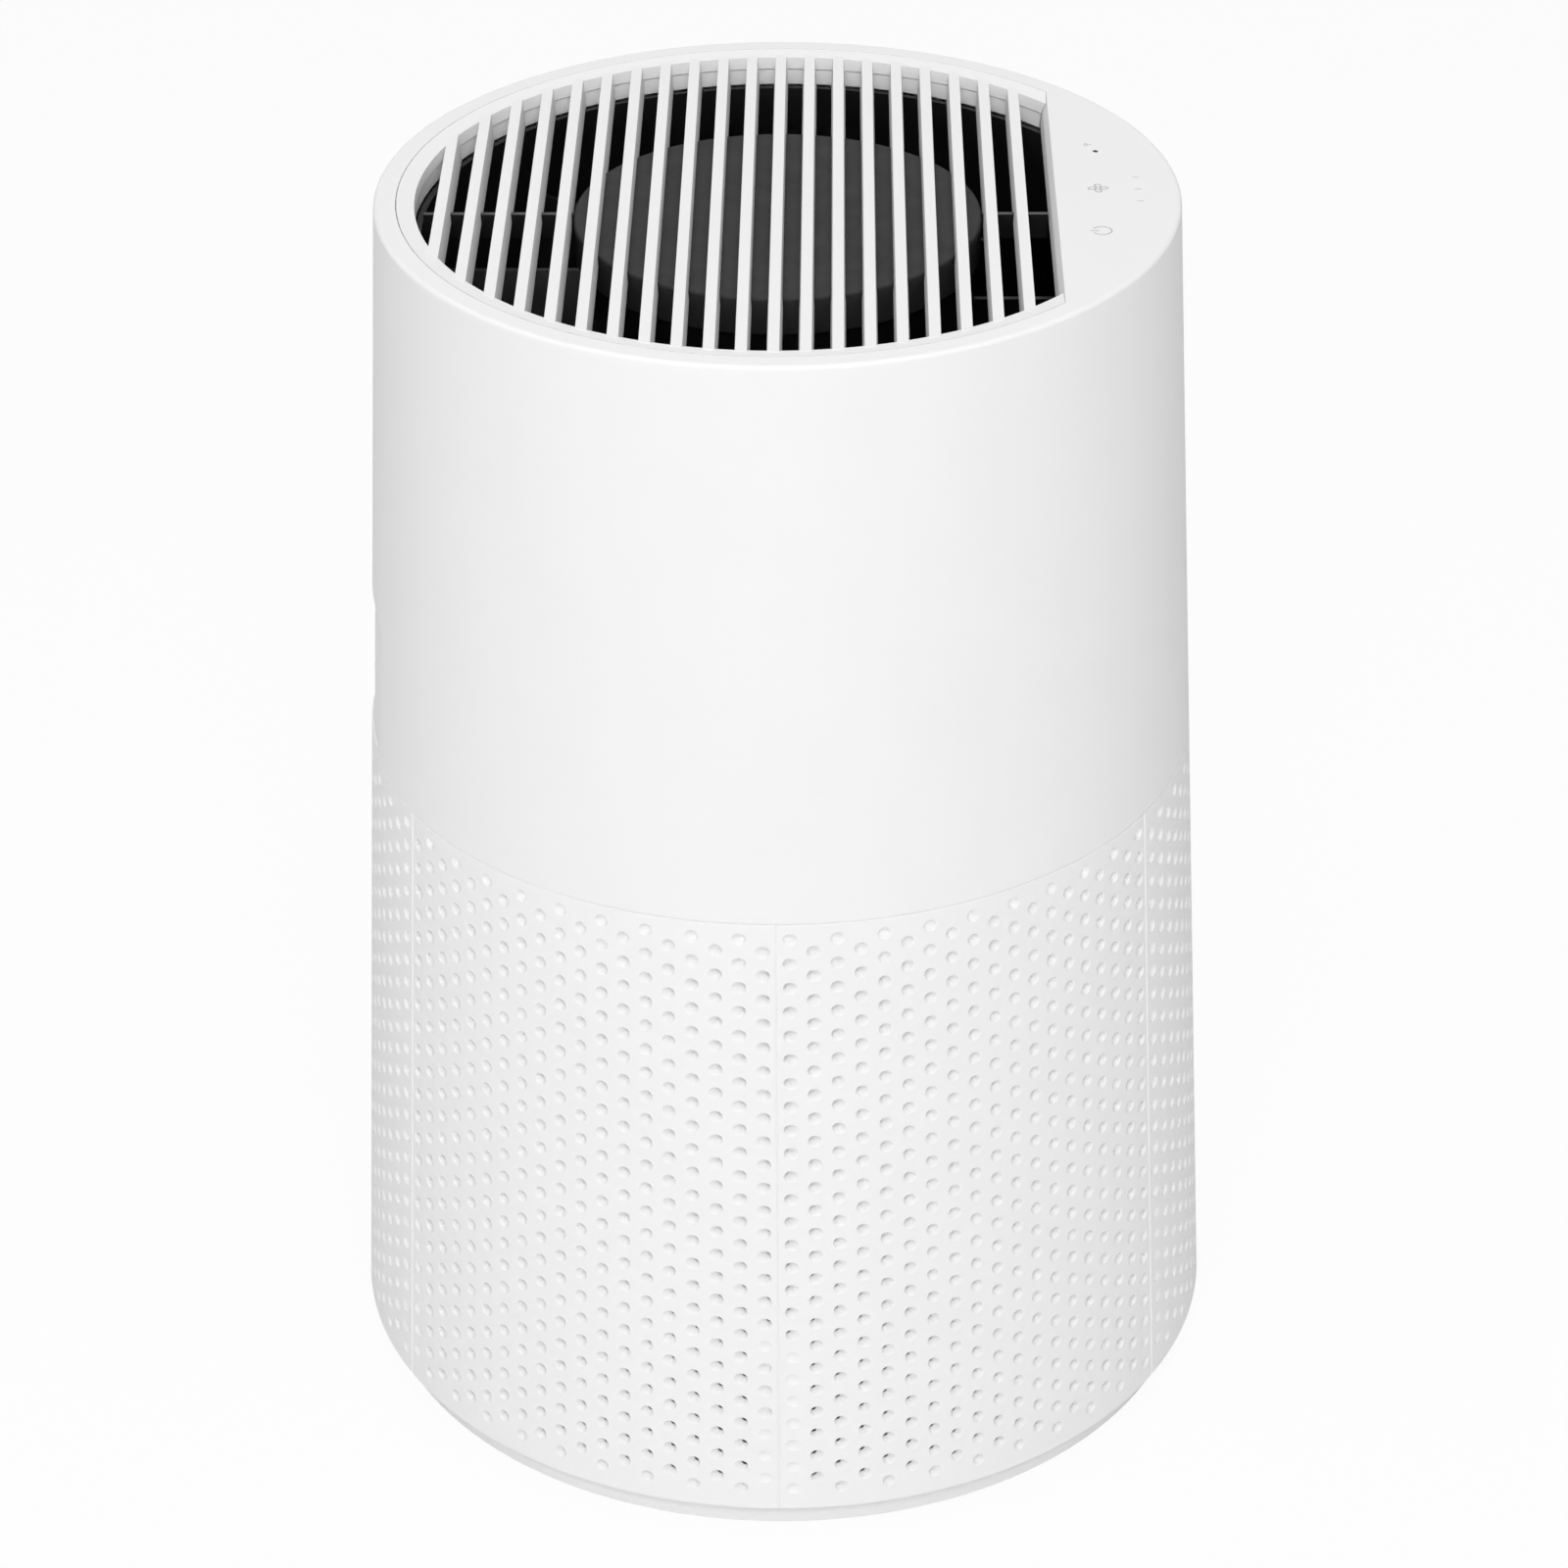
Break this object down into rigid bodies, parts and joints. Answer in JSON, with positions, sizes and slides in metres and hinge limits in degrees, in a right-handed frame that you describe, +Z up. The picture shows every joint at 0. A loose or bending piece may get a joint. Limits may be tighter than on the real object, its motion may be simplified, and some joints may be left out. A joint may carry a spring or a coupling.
{
  "type": "air purifier",
  "caption": "Round tapering tower air purifier: perforated lower intake round a filter cartridge, fan above it, barred round outlet and touch panel on top.",
  "frame": {"origin": "centre of the tower's axis on the floor, under the feet", "axes": "+Z up along the tower's axis, +X towards the control panel and the user, -X the rear"},
  "size_m": [0.3088, 0.309, 0.44],
  "materials": {
    "white_shell": "fine satin moulded white plastic",
    "white_intake": "fine satin moulded white plastic with dished holes",
    "white_base": "satin pale grey moulded plastic",
    "grey_cap": "matt dark grey plastic",
    "black_plastic": "semi-gloss black plastic",
    "rubber": "matt black rubber",
    "filter_frame": "satin light grey plastic",
    "filter_mesh": "fine woven pre-filter mesh",
    "filter_paper": "pleated white filter paper",
    "carbon": "black carbon granules in a net",
    "foam": "soft grey foam",
    "steel": "plain steel",
    "motor_steel": "zinc-plated steel",
    "copper": "enamelled copper winding on a steel core",
    "magnet": "dark sintered magnet",
    "board": "green circuit board",
    "components": "black electronic components",
    "clear": "clear light guide",
    "ribbon": "flat grey ribbon cable",
    "shield": "tinned shield can"
  },
  "bodies": {
    "base": {"base_cover": "white_base", "rubber_feet": "rubber"},
    "filter": {"filter_bottom_cap": "filter_frame", "filter_top_cap": "filter_frame", "filter_sleeve": "filter_mesh", "filter_carbon": "carbon", "filter_media": "filter_paper", "filter_gasket": "foam", "filter_pull_tab": "filter_mesh"},
    "housing": {"lower_ring": "white_base", "intake_frame": "white_intake", "intake_panel_1": "white_intake", "intake_panel_2": "white_intake", "intake_panel_3": "white_intake", "intake_panel_4": "white_intake", "intake_panel_5": "white_intake", "intake_panel_6": "white_intake", "fan_deck": "black_plastic", "deck_screws": "steel", "inlet_guard": "black_plastic", "fan_duct": "black_plastic", "diffuser": "black_plastic", "hub_cap": "grey_cap", "cap_arms": "black_plastic", "outlet_grille": "white_shell", "upper_shell": "white_shell", "cord_gland": "rubber", "panel_tray": "black_plastic", "touch_board": "board", "light_pipes": "clear", "wifi_module": "shield", "main_board": "board", "board_screws": "steel", "board_components": "components", "ribbon_cable": "ribbon", "sensor_tray": "black_plastic", "dust_sensor": "components", "motor_can": "motor_steel", "stator_core": "copper", "lower_bearing": "steel", "upper_bearing": "steel", "motor_bracket": "motor_steel", "motor_screws": "steel", "motor_isolators": "rubber"},
    "rotor": {"motor_shaft": "steel", "rotor_magnet": "magnet", "impeller": "black_plastic", "impeller_nut": "steel"},
    "sensor_cover": {"sensor_cover": "white_shell"}
  },
  "joints": [
    {"name": "base_twist", "type": "hinge", "parent": "base", "child": "filter", "pos_m": [0, 0, 0], "axis": [0, 0, 1], "range_deg": [-18, 0]},
    {"name": "housing_lift", "type": "slide", "parent": "filter", "child": "housing", "axis": [0, 0, 1], "range_m": [0, 0.225]},
    {"name": "fan_spin", "type": "hinge", "parent": "housing", "child": "rotor", "pos_m": [0, 0, 0.3], "axis": [0, 0, 1], "continuous": true},
    {"name": "sensor_cover_pull", "type": "slide", "parent": "housing", "child": "sensor_cover", "axis": [-1, 0, 0], "range_m": [0, 0.03]}
  ]
}
